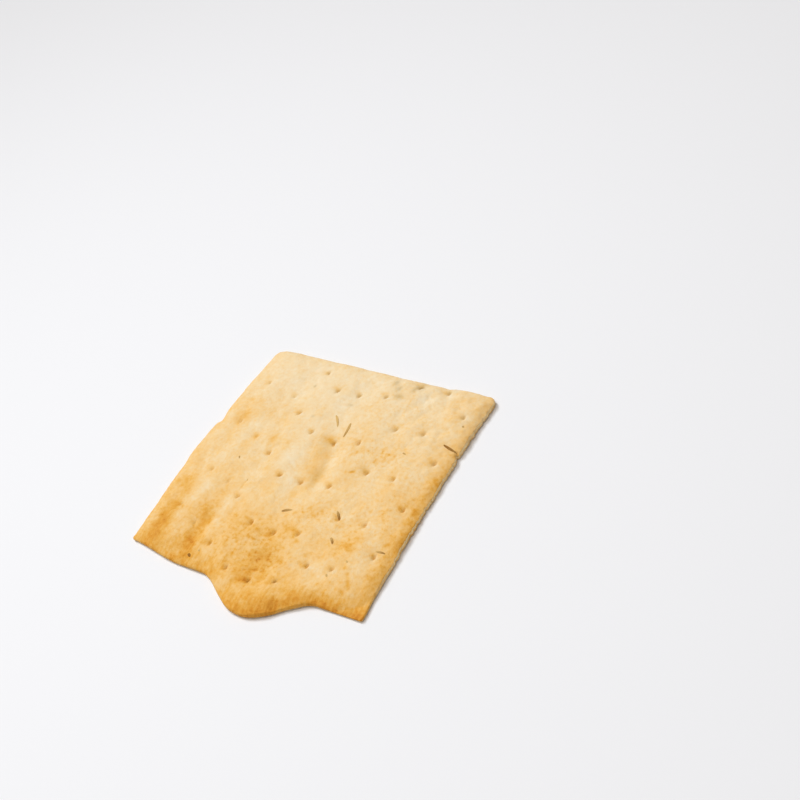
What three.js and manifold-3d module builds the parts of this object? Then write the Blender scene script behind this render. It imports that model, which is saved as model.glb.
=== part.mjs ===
// A hand-sized piece of thin, crisp pizza base, cut from a larger sheet and lying with its baked top up.
// The left, far and right sides are cut nearly straight. The near side is the sheet's own edge, which
// swells into one rounded lobe. The top is ribbed by soft waves, pricked by rows of docking holes, and
// holds a few baked-in herb needles. The underside is flat where it lay on the baking plate.
// Millimetres, +X along the near side, +Y towards the far side, +Z up.

import * as THREE from 'three';
import { mergeVertices } from 'three/addons/utils/BufferGeometryUtils.js';
import Module from 'manifold-3d';

const { lerp, smoothstep } = THREE.MathUtils;

const wasm = await Module();
wasm.setup();

// Size of the cut piece: half its length, its sides' places at the corners, and its thickness
const HALF_LENGTH = 58;
const LEFT_AT_FAR = -60.4;
const LEFT_AT_NEAR = -61.0;
const RIGHT_AT_MIDDLE = 57.8;
const FAR_AT_LEFT = 58.8;
const FAR_AT_RIGHT = 57.0;
const THICKNESS = 4.6;
const THINNEST_RIM = 1.7;

// The left side bows out and flares at its near corner, the right side is hollow, and the far side
// steps out near its right end
const LEFT_BOW = 3.2;
const LEFT_FLARE = 1.1;
const LEFT_FLARE_LENGTH = 9;
const RIGHT_HOLLOW_FAR = 1.6;
const RIGHT_HOLLOW_NEAR = 0.9;
const FAR_SLANT_FROM = -60;
const FAR_SLANT_TO = 30;
const FAR_STEP = 0.6;
const FAR_STEP_FROM = 36;
const FAR_STEP_TO = 42;

// The near side: a slight bow left of the lobe, the lobe, then a slight hollow right of it
const NEAR_CORNER_HOLLOW = 0.8;
const NEAR_BOW = 2.6;
const NEAR_BOW_FROM = -62;
const NEAR_BOW_FULL = -33;
const NEAR_HOLLOW = 0.6;
const LOBE_REACH = 14.1;
const LOBE_TIP_X = 9;
const LOBE_LEFT_WIDTH = 28;
const LOBE_RIGHT_WIDTH = 30;

// Corner radii
const FAR_LEFT_RADIUS = 4.5;
const FAR_RIGHT_RADIUS = 4.2;
const NEAR_LEFT_RADIUS = 1.6;
const NEAR_RIGHT_RADIUS = 1.2;

// How far the top falls towards each side, and over what width. The right side falls slowly and then rounds
// over, and the near right corner droops.
const LEFT_FALL = { drop: 1.6, width: 8 };
const RIGHT_FALL = { drop: 1.2, width: 24 };
const RIGHT_ROUND = { drop: 1.3, width: 5 };
const RIGHT_FALL_AT_FAR = 0.9;
const RIGHT_FALL_FADE_FROM = 10;
const NEAR_FALL = { drop: 2.3, width: 11 };
const FAR_FALL = { drop: 1.3, width: 6 };
const CORNER_DROOP = 1.6;
const CORNER_REACH = 11;

// Rounding of the rim itself, slight on the cut right side, and how far the underside lifts along it
const RIM_ROUND = 0.7;
const CUT_ROUND = 0.25;
const RIM_LIFT = 0.5;
const RIM_LIFT_WIDTH = 3;

// Soft waves across the top: ribs along Y that fade towards the right, and broad unevenness
const WAVE_HEIGHT = 0.42;
const WAVE_PITCH = 30;
const WAVE_CREST_X = -15;
const WAVE_FADE_FROM = -15;
const WAVE_FADE_TO = 35;
const WAVE_LEFT_OVER = 0.35;
const WAVE_RIM_FADE = 14;
const UNEVEN_HEIGHT = 0.22;
const UNEVEN_X = 11;
const UNEVEN_Y = 15;

// Troughs along Y, with the place of each across the sheet, its ends and its sag. A negative sag is a ridge.
const TROUGHS = [
  { x: -52, halfWidth: 4, near: -58, far: -26, sag: 0.45 },
  { x: -43, halfWidth: 4, near: -54, far: -20, sag: -0.2 },
  { x: -31.5, halfWidth: 3.6, near: -58, far: -36, sag: 0.6 },
  { x: 7.5, halfWidth: 6.5, near: -62, far: -38, sag: 1.15 },
];
const TROUGH_FADE = 9;

// Docking holes: where the pins of each column landed, from far to near, and how deep they went
const PIN_COLUMNS = [
  { depth: 1.3, places: [[-50.6, 37.2], [-50.7, 12.7], [-46.6, -15.0], [-48.7, -35.7]] },
  { depth: 1.1, places: [[-33.4, 33.4], [-37.3, 7.5], [-34.7, -18.3], [-36.4, -41.9]] },
  { depth: 2.6, places: [[-24.5, 49.8], [-24.8, 25.1], [-25.6, 0.6], [-25.3, -23.9], [-22.5, -48.6]] },
  { depth: 2.7, places: [[-13.5, 41.5], [-12.3, 16.7], [-12.6, -8.5], [-10.4, -33.9], [-8.0, -56.3]] },
  { depth: 2.8, places: [[-2.3, 41.8], [1.1, 14.4], [-1.5, -8.6], [2.0, -35.0], [4.6, -57.9]] },
  { depth: 2.7, places: [[11.0, 44.0], [12.8, 16.7], [12.6, -7.1], [13.5, -32.4], [16.6, -54.7]] },
  { depth: 2.8, places: [[24.0, 53.3], [24.8, 28.7], [24.7, 4.0], [25.5, -20.5], [25.2, -44.4]] },
  { depth: 2.6, places: [[37.3, 53.9], [37.8, 29.6], [37.7, 4.3], [38.1, -19.8], [36.4, -42.5]] },
  { depth: 2.5, places: [[50.5, 42.2], [50.1, 16.7], [49.4, -8.1], [49.3, -31.7]] },
];
const PIN_MOUTH_RADIUS = 1.35;
const PIN_TIP_RADIUS = 0.55;
const PIN_ABOVE = 1.2;
const PIN_SIDES = 8;

// Herb needles baked into the top, from one end to the other
const NEEDLE_RADIUS = 0.5;
const NEEDLE_SUNK = 0.15;
const NEEDLES = [
  { from: [-6.4, 28.4], to: [-2.1, 22.7] },
  { from: [3.0, 26.1], to: [4.1, 17.9] },
  { from: [49.8, 26.7], to: [56.8, 25.0] },
  { from: [-0.5, -24.7], to: [4.3, -22.9] },
  { from: [23.6, -17.4], to: [26.3, -20.9] },
  { from: [27.9, -29.4], to: [30.5, -32.1] },
  { from: [49.3, -29.2], to: [53.7, -28.9] },
];

// Cells of the sheet's surface, drawn closer together towards the rim
const CELLS_ACROSS = 38;
const CELLS_ALONG = 38;
const CELLS_UP_THE_RIM = 2;
const CELL_CROWDING = 0.45;

// A swelling of 1 in the middle that runs out smoothly to 0 at t = -1 and t = 1
function swell(t) {
  return Math.max(0, 1 - t * t) ** 2;
}

// Each side of the outline, as its place for a place along it. The span of a side runs from -1 at its
// near end to 1 at its far end.
function leftEdge(y) {
  const span = y / HALF_LENGTH;
  const flare = LEFT_FLARE * smoothstep(-y, HALF_LENGTH - LEFT_FLARE_LENGTH, HALF_LENGTH);
  return lerp(LEFT_AT_NEAR, LEFT_AT_FAR, (span + 1) / 2) - LEFT_BOW * swell(span) - flare;
}

function rightEdge(y) {
  const span = y / HALF_LENGTH;
  return RIGHT_AT_MIDDLE + (span > 0 ? RIGHT_HOLLOW_FAR : RIGHT_HOLLOW_NEAR) * span * span;
}

function farEdge(x) {
  const slanted = lerp(FAR_AT_LEFT, FAR_AT_RIGHT, smoothstep(x, FAR_SLANT_FROM, FAR_SLANT_TO));
  return slanted + FAR_STEP * smoothstep(x, FAR_STEP_FROM, FAR_STEP_TO);
}

// The lobe swells from the plain near side, wider to the right of its tip than to the left
function nearEdge(x) {
  const leftOfTip = x < LOBE_TIP_X;
  const bow = lerp(-NEAR_CORNER_HOLLOW, NEAR_BOW, smoothstep(x, NEAR_BOW_FROM, NEAR_BOW_FULL));
  const plain = leftOfTip ? bow : -NEAR_HOLLOW;
  const width = leftOfTip ? LOBE_LEFT_WIDTH : LOBE_RIGHT_WIDTH;
  return -HALF_LENGTH - lerp(plain, LOBE_REACH, swell((x - LOBE_TIP_X) / width));
}

function cornerRadius(onRight, onFar) {
  if (onRight) return onFar ? FAR_RIGHT_RADIUS : NEAR_RIGHT_RADIUS;
  return onFar ? FAR_LEFT_RADIUS : NEAR_LEFT_RADIUS;
}

// Distances from the two sides of a square corner become those of a round one: the square of side
// radius at the corner is squeezed onto a quarter disc.
function roundCorner(fromSide, fromEnd, radius) {
  const a = Math.max(0, 1 - fromSide / radius);
  const b = Math.max(0, 1 - fromEnd / radius);
  if (a === 0 || b === 0) return [fromSide, fromEnd];
  return [
    radius * (1 - a * Math.sqrt(1 - (b * b) / 2)),
    radius * (1 - b * Math.sqrt(1 - (a * a) / 2)),
  ];
}

// Place on the plan for a share across and along the sheet. Rounding draws it in from the outline, by
// nothing at 0 and by the whole rounding of the rim at 1.
function planPoint(across, along, rounding) {
  const guideY = lerp(-HALF_LENGTH, HALF_LENGTH, along);
  const left = leftEdge(guideY);
  const right = rightEdge(guideY);
  const inset = RIM_ROUND * rounding;
  const straightX = lerp(left + inset, right - CUT_ROUND * rounding, across);
  const near = nearEdge(straightX);
  const far = farEdge(straightX);
  const straightY = lerp(near + inset, far - inset, along);

  const onRight = across > 0.5;
  const onFar = along > 0.5;
  const [fromSide, fromEnd] = roundCorner(
    onRight ? right - straightX : straightX - left,
    onFar ? far - straightY : straightY - near,
    cornerRadius(onRight, onFar),
  );
  return new THREE.Vector2(
    onRight ? right - fromSide : left + fromSide,
    onFar ? far - fromEnd : near + fromEnd,
  );
}

// Height lost towards one side: a parabola that starts flat where the fall begins
function fallTowards({ drop, width }, distance) {
  return drop * Math.max(0, 1 - distance / width) ** 2;
}

function edgeDistances({ x, y }) {
  return {
    left: x - leftEdge(y),
    right: rightEdge(y) - x,
    near: y - nearEdge(x),
    far: farEdge(x) - y,
  };
}

function waves({ x, y }) {
  const fade = lerp(1, WAVE_LEFT_OVER, smoothstep(x, WAVE_FADE_FROM, WAVE_FADE_TO));
  const ribs = Math.cos((2 * Math.PI * (x - WAVE_CREST_X)) / WAVE_PITCH);
  const uneven = Math.sin(x / UNEVEN_X + y / UNEVEN_Y) * Math.cos(y / UNEVEN_X - x / UNEVEN_Y);
  return WAVE_HEIGHT * fade * ribs + UNEVEN_HEIGHT * uneven;
}

// The cut right side is thicker towards the far corner
function rightFall(y) {
  const fade = smoothstep(y, RIGHT_FALL_FADE_FROM, HALF_LENGTH);
  return { drop: lerp(RIGHT_FALL.drop, RIGHT_FALL_AT_FAR, fade), width: RIGHT_FALL.width };
}

// Troughs that fade in and out at their two ends
function troughs({ x, y }) {
  return TROUGHS.reduce((sum, { x: middle, halfWidth, near, far, sag }) => {
    const fadeIn = smoothstep(y, near - TROUGH_FADE, near + TROUGH_FADE);
    const fadeOut = 1 - smoothstep(y, far - TROUGH_FADE, far + TROUGH_FADE);
    return sum + sag * fadeIn * fadeOut * Math.exp(-(((x - middle) / halfWidth) ** 2));
  }, 0);
}

function topHeight(point) {
  const { left, right, near, far } = edgeDistances(point);
  const calm = smoothstep(Math.min(left, right, near, far), 0, WAVE_RIM_FADE);
  const fall =
    fallTowards(LEFT_FALL, left) +
    fallTowards(rightFall(point.y), right) +
    fallTowards(RIGHT_ROUND, right) +
    fallTowards(NEAR_FALL, near) +
    fallTowards(FAR_FALL, far) +
    CORNER_DROOP * Math.exp(-((right / CORNER_REACH) ** 2) - (near / CORNER_REACH) ** 2);
  return Math.max(THINNEST_RIM, THICKNESS + calm * waves(point) - fall) - troughs(point);
}

function undersideHeight(point) {
  const { left, right, near, far } = edgeDistances(point);
  return fallTowards({ drop: RIM_LIFT, width: RIM_LIFT_WIDTH }, Math.min(left, right, near, far));
}

// Shares along a side, crowded towards both ends
function crowd(share) {
  return share - (CELL_CROWDING * Math.sin(2 * Math.PI * share)) / (2 * Math.PI);
}

// The bare sheet: a finely divided unit block whose points are moved to the outline and the two faces
function sheetGeometry() {
  const block = new THREE.BoxGeometry(1, 1, 1, CELLS_ACROSS, CELLS_ALONG, CELLS_UP_THE_RIM);
  const position = block.attributes.position;
  for (let i = 0; i < position.count; i += 1) {
    const up = position.getZ(i) + 0.5;
    const rounding = 1 - Math.sin(Math.PI * up);
    const point = planPoint(crowd(position.getX(i) + 0.5), crowd(position.getY(i) + 0.5), rounding);
    position.setXYZ(i, point.x, point.y, lerp(undersideHeight(point), topHeight(point), up));
  }
  return block;
}

// One docking pin: a blunt cone from just above the top down into it
function pinGeometry(point, depth) {
  const length = depth + PIN_ABOVE;
  const mouth = lerp(PIN_TIP_RADIUS, PIN_MOUTH_RADIUS, length / depth);
  const pin = new THREE.CylinderGeometry(mouth, PIN_TIP_RADIUS, length, PIN_SIDES);
  pin.rotateX(Math.PI / 2);
  pin.translate(point.x, point.y, topHeight(point) - depth + length / 2);
  return pin;
}

function dockingPins() {
  return PIN_COLUMNS.flatMap(({ depth, places }) => places.map(([x, y]) => pinGeometry({ x, y }, depth)));
}

// One herb needle: a slim spindle, more than half sunk, along the top
function needleGeometry({ from, to }) {
  const [start, end] = [from, to].map(
    ([x, y]) => new THREE.Vector3(x, y, topHeight({ x, y }) - NEEDLE_SUNK),
  );
  const run = end.clone().sub(start);
  const middle = start.clone().addScaledVector(run, 0.5);
  const needle = new THREE.OctahedronGeometry(1, 1);
  needle.scale(run.length() / 2, NEEDLE_RADIUS, NEEDLE_RADIUS);
  needle.applyQuaternion(
    new THREE.Quaternion().setFromUnitVectors(new THREE.Vector3(1, 0, 0), run.normalize()),
  );
  needle.translate(middle.x, middle.y, middle.z);
  return needle;
}

// A closed geometry as a solid that can be cut and joined
function toSolid(geometry) {
  geometry.deleteAttribute('normal');
  geometry.deleteAttribute('uv');
  const merged = mergeVertices(geometry);
  return new wasm.Manifold(
    new wasm.Mesh({
      numProp: 3,
      vertProperties: new Float32Array(merged.attributes.position.array),
      triVerts: new Uint32Array(merged.index.array),
    }),
  );
}

function toGeometry(solid) {
  const mesh = solid.getMesh();
  const geometry = new THREE.BufferGeometry();
  geometry.setAttribute('position', new THREE.BufferAttribute(mesh.vertProperties, mesh.numProp));
  geometry.setIndex(new THREE.BufferAttribute(mesh.triVerts, 1));
  return geometry;
}

function pizzaBase() {
  let solid = toSolid(sheetGeometry());
  for (const pin of dockingPins()) solid = solid.subtract(toSolid(pin));
  for (const needle of NEEDLES) solid = solid.add(toSolid(needleGeometry(needle)));

  // The origin is under the middle of the piece, on the surface that it lies on
  const geometry = toGeometry(solid);
  geometry.computeBoundingBox();
  const { min, max } = geometry.boundingBox;
  geometry.translate(-(min.x + max.x) / 2, -(min.y + max.y) / 2, -min.z);
  geometry.computeVertexNormals();

  const bakedDough = new THREE.MeshStandardMaterial({ color: 0xefc98c, roughness: 0.75, metalness: 0 });
  const mesh = new THREE.Mesh(geometry, bakedDough);
  mesh.name = 'pizza_base';
  return mesh;
}

const piece = new THREE.Group();
piece.add(pizzaBase());

export default piece;
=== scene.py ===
# %% [markdown]
# # Baking a thin pizza base in Blender
#
# The object is a hand-sized piece of crisp, thin pizza base. It was cut from a larger rolled sheet, pricked
# by a docking roller so that it would bake flat, and strewn with dried herb needles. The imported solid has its
# size and main shape already. It is loaded first, because every surface below is fitted to it.

import math

import bpy
import numpy as np
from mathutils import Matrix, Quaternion, Vector


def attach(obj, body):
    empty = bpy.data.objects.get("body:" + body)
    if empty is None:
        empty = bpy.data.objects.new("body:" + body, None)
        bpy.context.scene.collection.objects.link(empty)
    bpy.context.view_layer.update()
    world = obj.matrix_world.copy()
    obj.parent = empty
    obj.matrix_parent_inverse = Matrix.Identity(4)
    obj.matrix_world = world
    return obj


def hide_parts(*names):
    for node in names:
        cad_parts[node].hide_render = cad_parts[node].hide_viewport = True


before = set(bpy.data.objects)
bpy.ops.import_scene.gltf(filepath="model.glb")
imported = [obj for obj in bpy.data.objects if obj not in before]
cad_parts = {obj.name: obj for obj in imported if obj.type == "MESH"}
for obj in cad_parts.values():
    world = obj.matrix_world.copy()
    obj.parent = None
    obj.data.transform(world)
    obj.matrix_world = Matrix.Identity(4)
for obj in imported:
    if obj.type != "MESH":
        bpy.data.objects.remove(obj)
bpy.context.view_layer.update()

# %% [markdown]
# ## Camera
#
# A flat piece of food is shown from above and from one corner, so that both its face and its edge can be
# seen. A camera can be set by a matrix, by a constraint, or by a spot to look at with a distance and angles.
# The last is used here, because each number can be read and changed by itself. The roll tips the picture
# sideways.

# %% Camera
LENS_MM = 50.1
SENSOR_MM = 36
LOOKS_AT = Vector((0.0195, 0.0516, 0.0030))
CAMERA_DISTANCE = 0.4843
AZIMUTH = math.radians(46.13)
ELEVATION = math.radians(43.09)
ROLL = math.radians(-22.7)

scene = bpy.context.scene
towards_camera = Vector((
    math.sin(AZIMUTH) * math.cos(ELEVATION),
    -math.cos(AZIMUTH) * math.cos(ELEVATION),
    math.sin(ELEVATION),
))
camera = bpy.data.objects.new("camera", bpy.data.cameras.new("camera"))
camera.data.lens = LENS_MM
camera.data.sensor_width = SENSOR_MM
camera.location = LOOKS_AT + CAMERA_DISTANCE * towards_camera
camera.rotation_mode = "QUATERNION"
camera.rotation_quaternion = towards_camera.to_track_quat("Z", "Y") @ Quaternion((0, 0, 1), ROLL)
scene.collection.objects.link(camera)
scene.camera = camera
print("camera at", [round(c, 4) for c in camera.location])

# %% [markdown]
# ## Outline of the piece
#
# Three sides are knife cuts that warped a little in the oven. The fourth is the sheet's own edge, which ran
# out into one rounded lobe. Each side is a function that gives its place for a place along it. A traced curve
# would do as well, but functions can be evaluated for whole arrays at once. All sizes are millimetres, as in
# the solid.

# %% Helpers for smooth shapes
def lerp(start, end, share):
    """The mix of two values: start at share 0, end at share 1."""
    return start + (end - start) * share


def smoothstep(x, start, end):
    """0 before start, 1 after end, and 3t^2 - 2t^3 between them."""
    t = np.clip((x - start) / (end - start), 0, 1)
    return t * t * (3 - 2 * t)


def swell(t):
    """A swelling (1 - t^2)^2 that is 1 in the middle and runs out to 0 at t = -1 and t = 1."""
    return np.maximum(0, 1 - t * t) ** 2


def level_off(x, start, span):
    """x itself up to start, then start + span tanh((x - start) / span), so it never passes start + span."""
    over = np.maximum(0, x - start)
    return x - over + span * np.tanh(over / span)


print("a quarter of the way, smoothstep gives", smoothstep(0.25, 0, 1), "and a swell", swell(0.25))

# %% The four sides
HALF_LENGTH = 58
LEFT_AT_FAR, LEFT_AT_NEAR, LEFT_BOW = -60.4, -61.0, 3.2
LEFT_FLARE, LEFT_FLARE_LENGTH = 1.1, 9
LEFT_DENT, LEFT_DENT_Y, LEFT_DENT_HALF = 0.75, 13, 24
LEFT_STEP, LEFT_STEP_NEAR, LEFT_STEP_FAR = 1.3, (9.0, 10.8), (10.8, 18)
RIGHT_AT_MIDDLE, RIGHT_HOLLOW_FAR, RIGHT_HOLLOW_NEAR = 57.8, 1.6, 0.9
FAR_AT_LEFT, FAR_AT_RIGHT, FAR_SLANT = 58.8, 57.0, (-60, 30)
FAR_STEP, FAR_STEP_ALONG = 0.6, (36, 42)
NEAR_CORNER_HOLLOW, NEAR_BOW, NEAR_BOW_ALONG, NEAR_HOLLOW = 0.8, 2.6, (-62, -33), 0.6
LOBE_REACH, LOBE_TIP_X, LOBE_LEFT_WIDTH, LOBE_RIGHT_WIDTH = 14.1, 9, 28, 30


def left_edge(y):
    """A straight side from corner to corner, bowed out by a swell and flared at the near corner. Beyond the
    middle a shallow swell dents it, with one small step in."""
    straight = lerp(LEFT_AT_NEAR, LEFT_AT_FAR, (y / HALF_LENGTH + 1) / 2)
    flare = LEFT_FLARE * smoothstep(-y, HALF_LENGTH - LEFT_FLARE_LENGTH, HALF_LENGTH)
    step = LEFT_STEP * smoothstep(y, *LEFT_STEP_NEAR) * (1 - smoothstep(y, *LEFT_STEP_FAR))
    dent = LEFT_DENT * swell((y - LEFT_DENT_Y) / LEFT_DENT_HALF) + step
    return straight - LEFT_BOW * swell(y / HALF_LENGTH) - flare + dent


def right_edge(y):
    """A hollow side: its middle, plus a parabola towards each corner."""
    hollow = np.where(y > 0, RIGHT_HOLLOW_FAR, RIGHT_HOLLOW_NEAR)
    return RIGHT_AT_MIDDLE + hollow * (y / HALF_LENGTH) ** 2


def far_edge(x):
    """A slanting side with one small step out near its right end."""
    slant = lerp(FAR_AT_LEFT, FAR_AT_RIGHT, smoothstep(x, *FAR_SLANT))
    return slant + FAR_STEP * smoothstep(x, *FAR_STEP_ALONG)


def near_edge(x):
    """The sheet's own edge: a slight bow, then a swell for the lobe, then a slight hollow."""
    on_left = x < LOBE_TIP_X
    bow = lerp(-NEAR_CORNER_HOLLOW, NEAR_BOW, smoothstep(x, *NEAR_BOW_ALONG))
    plain = np.where(on_left, bow, -NEAR_HOLLOW)
    width = np.where(on_left, LOBE_LEFT_WIDTH, LOBE_RIGHT_WIDTH)
    return -HALF_LENGTH - lerp(plain, LOBE_REACH, swell((x - LOBE_TIP_X) / width))


print("lobe tip at y", round(float(near_edge(np.array(LOBE_TIP_X))), 2))

# %% Distances from the sides
def edge_distances(x, y):
    """Distances from the left, right, near and far side, measured straight along X or Y."""
    return x - left_edge(y), right_edge(y) - x, y - near_edge(x), far_edge(x) - y


def nearest_edge(x, y):
    """Distance from the nearest of the four sides."""
    left, right, near, far = edge_distances(x, y)
    return np.minimum(np.minimum(left, right), np.minimum(near, far))


print("from the origin to the nearest side, mm:", round(float(nearest_edge(np.array(0.0), np.array(0.0))), 2))

# %% Places on the plan
RIM_ROUND, CUT_ROUND = 0.7, 0.25
FAR_LEFT_RADIUS, FAR_RIGHT_RADIUS, NEAR_LEFT_RADIUS, NEAR_RIGHT_RADIUS = 4.5, 4.2, 1.6, 1.2


def plan_place(across, along, rounding):
    """Shares across and along the sheet become X and Y between the four sides. Rounding from 0 to 1 draws the
    place in from the outline. At a corner, the square of side r is squeezed onto a quarter disc: with a and b
    the shares of r that are left to each side, they become a sqrt(1 - b^2 / 2) and b sqrt(1 - a^2 / 2)."""
    guide_y = lerp(-HALF_LENGTH, HALF_LENGTH, along)
    left, right = left_edge(guide_y), right_edge(guide_y)
    x = lerp(left + RIM_ROUND * rounding, right - CUT_ROUND * rounding, across)
    near, far = near_edge(x), far_edge(x)
    y = lerp(near + RIM_ROUND * rounding, far - RIM_ROUND * rounding, along)
    on_right, on_far = across > 0.5, along > 0.5
    radius = np.where(
        on_right,
        np.where(on_far, FAR_RIGHT_RADIUS, NEAR_RIGHT_RADIUS),
        np.where(on_far, FAR_LEFT_RADIUS, NEAR_LEFT_RADIUS),
    )
    from_side = np.where(on_right, right - x, x - left)
    from_end = np.where(on_far, far - y, y - near)
    a = np.maximum(0, 1 - from_side / radius)
    b = np.maximum(0, 1 - from_end / radius)
    in_corner = (a > 0) & (b > 0)
    from_side = np.where(in_corner, radius * (1 - a * np.sqrt(1 - b * b / 2)), from_side)
    from_end = np.where(in_corner, radius * (1 - b * np.sqrt(1 - a * a / 2)), from_end)
    x = np.where(on_right, right - from_side, left + from_side)
    y = np.where(on_far, far - from_end, near + from_end)
    return x, y


print("far right corner at", [round(float(c), 2) for c in plan_place(np.array(1.0), np.array(1.0), 0)])

# %% [markdown]
# ## Relief of the baked top
#
# In the oven the thin sheet rises in soft ribs between the rows of pin holes, and its skin lifts in low
# blisters. The rim dries first and stays thin. One could sculpt all this, but sums of waves, falls and seeded
# noise give the same relief every time, and the colour can follow the same numbers later.

# %% Seeded noise for a skin
LATTICE = 256


def skin_noise(x, y, size, seed):
    """Smooth noise from -1 to 1: random heights on a square lattice of this size, turned by its own angle,
    with 3t^2 - 2t^3 between its points."""
    heights = np.random.default_rng(seed).uniform(-1, 1, (LATTICE, LATTICE))
    u = (x * math.cos(seed) + y * math.sin(seed)) / size
    v = (y * math.cos(seed) - x * math.sin(seed)) / size
    i, j = np.floor(u).astype(int), np.floor(v).astype(int)
    s, t = smoothstep(u - i, 0, 1), smoothstep(v - j, 0, 1)
    i, j, next_i, next_j = i % LATTICE, j % LATTICE, (i + 1) % LATTICE, (j + 1) % LATTICE
    near_row = lerp(heights[i, j], heights[next_i, j], s)
    far_row = lerp(heights[i, next_j], heights[next_i, next_j], s)
    return lerp(near_row, far_row, t)


def layered_noise(x, y, layers):
    """The sum of layers of this noise, each with its own size, swing and seed."""
    return sum(swing * skin_noise(x, y, size, seed) for size, swing, seed in layers)


print("noise lattice:", LATTICE, "by", LATTICE)

# %% The sheet's own height
THICKNESS, THINNEST_RIM = 4.6, 1.7
LEFT_FALL, RIGHT_FALL, NEAR_FALL, FAR_FALL = (1.6, 8), (1.2, 24), (2.3, 11), (1.3, 6)
RIGHT_ROUND = (1.05, 5.0)
CORNER_DROOP, CORNER_REACH = 1.6, 11
RIGHT_FALL_AT_FAR, RIGHT_FALL_FADE = 0.9, (10, HALF_LENGTH)
WAVE_HEIGHT, WAVE_PITCH, WAVE_CREST_X = 0.42, 30, -15
WAVE_FADE, WAVE_LEFT_OVER, WAVE_RIM_FADE = (-15, 35), 0.35, 14
UNEVEN_HEIGHT, UNEVEN_X, UNEVEN_Y = 0.22, 11, 15


def fall(drop, width, distance):
    """Height lost towards a side: drop (1 - distance / width)^2."""
    return drop * np.maximum(0, 1 - distance / width) ** 2


def sheet_height(x, y):
    """Thickness, plus ribs and broad unevenness that calm down at the rim, less a fall towards each side and
    a droop exp(-(distance / reach)^2) at the near right corner."""
    left, right, near, far = edge_distances(x, y)
    calm = smoothstep(nearest_edge(x, y), 0, WAVE_RIM_FADE)
    wave = np.cos(2 * np.pi * (x - WAVE_CREST_X) / WAVE_PITCH)
    ribs = lerp(1, WAVE_LEFT_OVER, smoothstep(x, *WAVE_FADE)) * wave
    uneven = np.sin(x / UNEVEN_X + y / UNEVEN_Y) * np.cos(y / UNEVEN_X - x / UNEVEN_Y)
    right_drop = lerp(RIGHT_FALL[0], RIGHT_FALL_AT_FAR, smoothstep(y, *RIGHT_FALL_FADE))
    falls = (
        fall(*LEFT_FALL, left) + fall(right_drop, RIGHT_FALL[1], right) + fall(*RIGHT_ROUND, right)
        + fall(*NEAR_FALL, near) + fall(*FAR_FALL, far)
        + CORNER_DROOP * np.exp(-((right / CORNER_REACH) ** 2) - (near / CORNER_REACH) ** 2)
    )
    relief = calm * (WAVE_HEIGHT * ribs + UNEVEN_HEIGHT * uneven)
    return np.maximum(THINNEST_RIM, THICKNESS + relief - falls)


print("sheet at the origin, mm:", round(float(sheet_height(np.array(0.0), np.array(0.0))), 2))

# %% Docking holes
PIN_COLUMNS = [  # depth, and where the pins of this column landed, from far to near
    (1.3, [(-50.6, 37.2), (-50.7, 12.7), (-46.6, -15.0), (-48.7, -35.7)]),
    (1.1, [(-33.4, 33.4), (-37.3, 7.5), (-34.7, -18.3), (-36.4, -41.9)]),
    (2.6, [(-24.5, 49.8), (-24.8, 25.1), (-25.6, 0.6), (-25.3, -23.9), (-22.5, -48.6)]),
    (2.7, [(-13.5, 41.5), (-12.3, 16.7), (-12.6, -8.5), (-10.4, -33.9), (-8.0, -56.3)]),
    (2.8, [(-2.3, 41.8), (1.1, 14.4), (-1.5, -8.6), (2.0, -35.0), (4.6, -57.9)]),
    (2.7, [(11.0, 44.0), (12.8, 16.7), (12.6, -7.1), (13.5, -32.4), (16.6, -54.7)]),
    (2.8, [(24.0, 53.3), (24.8, 28.7), (24.7, 4.0), (25.5, -20.5), (25.2, -44.4)]),
    (2.6, [(37.3, 53.9), (37.8, 29.6), (37.7, 4.3), (38.1, -19.8), (36.4, -42.5)]),
    (2.5, [(50.5, 42.2), (50.1, 16.7), (49.4, -8.1), (49.3, -31.7)]),
]
pin_x, pin_y, pin_depth = np.array([(x, y, depth) for depth, places in PIN_COLUMNS for x, y in places]).T
print("docking holes:", len(pin_x))

# %% Holes as slanting pricks
PIN_SEED = 5
PRICK_DEEP, PRICK_BIG, PRICK_TURNS = (0.38, 0.55), (0.95, 1.35), (-0.7, 0.1)
PRICK_LEAN, PRICK_AHEAD, PRICK_BEHIND, PRICK_ASIDE = 0.7, 0.42, 0.85, 0.9
WALL_POWER = 4
DIMPLE_DEPTH, DIMPLE_RADIUS = 0.2, 3.0
LIP_HEIGHT, LIP_AHEAD, LIP_HALF = 0.14, 1.3, 0.6

pin_draw = np.random.default_rng(PIN_SEED)
prick_depth = pin_depth * pin_draw.uniform(*PRICK_DEEP, len(pin_x))
prick_size = pin_draw.uniform(*PRICK_BIG, len(pin_x))
prick_turn = pin_draw.uniform(*PRICK_TURNS, len(pin_x))
prick_x, prick_y = pin_x + PRICK_LEAN * np.cos(prick_turn), pin_y + PRICK_LEAN * np.sin(prick_turn)


def per_pin(values):
    """Values of the pins as a column, so that they meet every point of a grid."""
    return np.asarray(values)[:, None, None]


def away_from_pins(x, y):
    """How far every point lies from the deepest spot of every hole, along X and Y."""
    return x[None] - per_pin(prick_x), y[None] - per_pin(prick_y)


def pin_offsets(x, y):
    """The same distances, along the way that each pin leaned and across it."""
    away_x, away_y = away_from_pins(x, y)
    turn_x, turn_y = per_pin(np.cos(prick_turn)), per_pin(np.sin(prick_turn))
    return away_x * turn_x + away_y * turn_y, away_y * turn_x - away_x * turn_y


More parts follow.
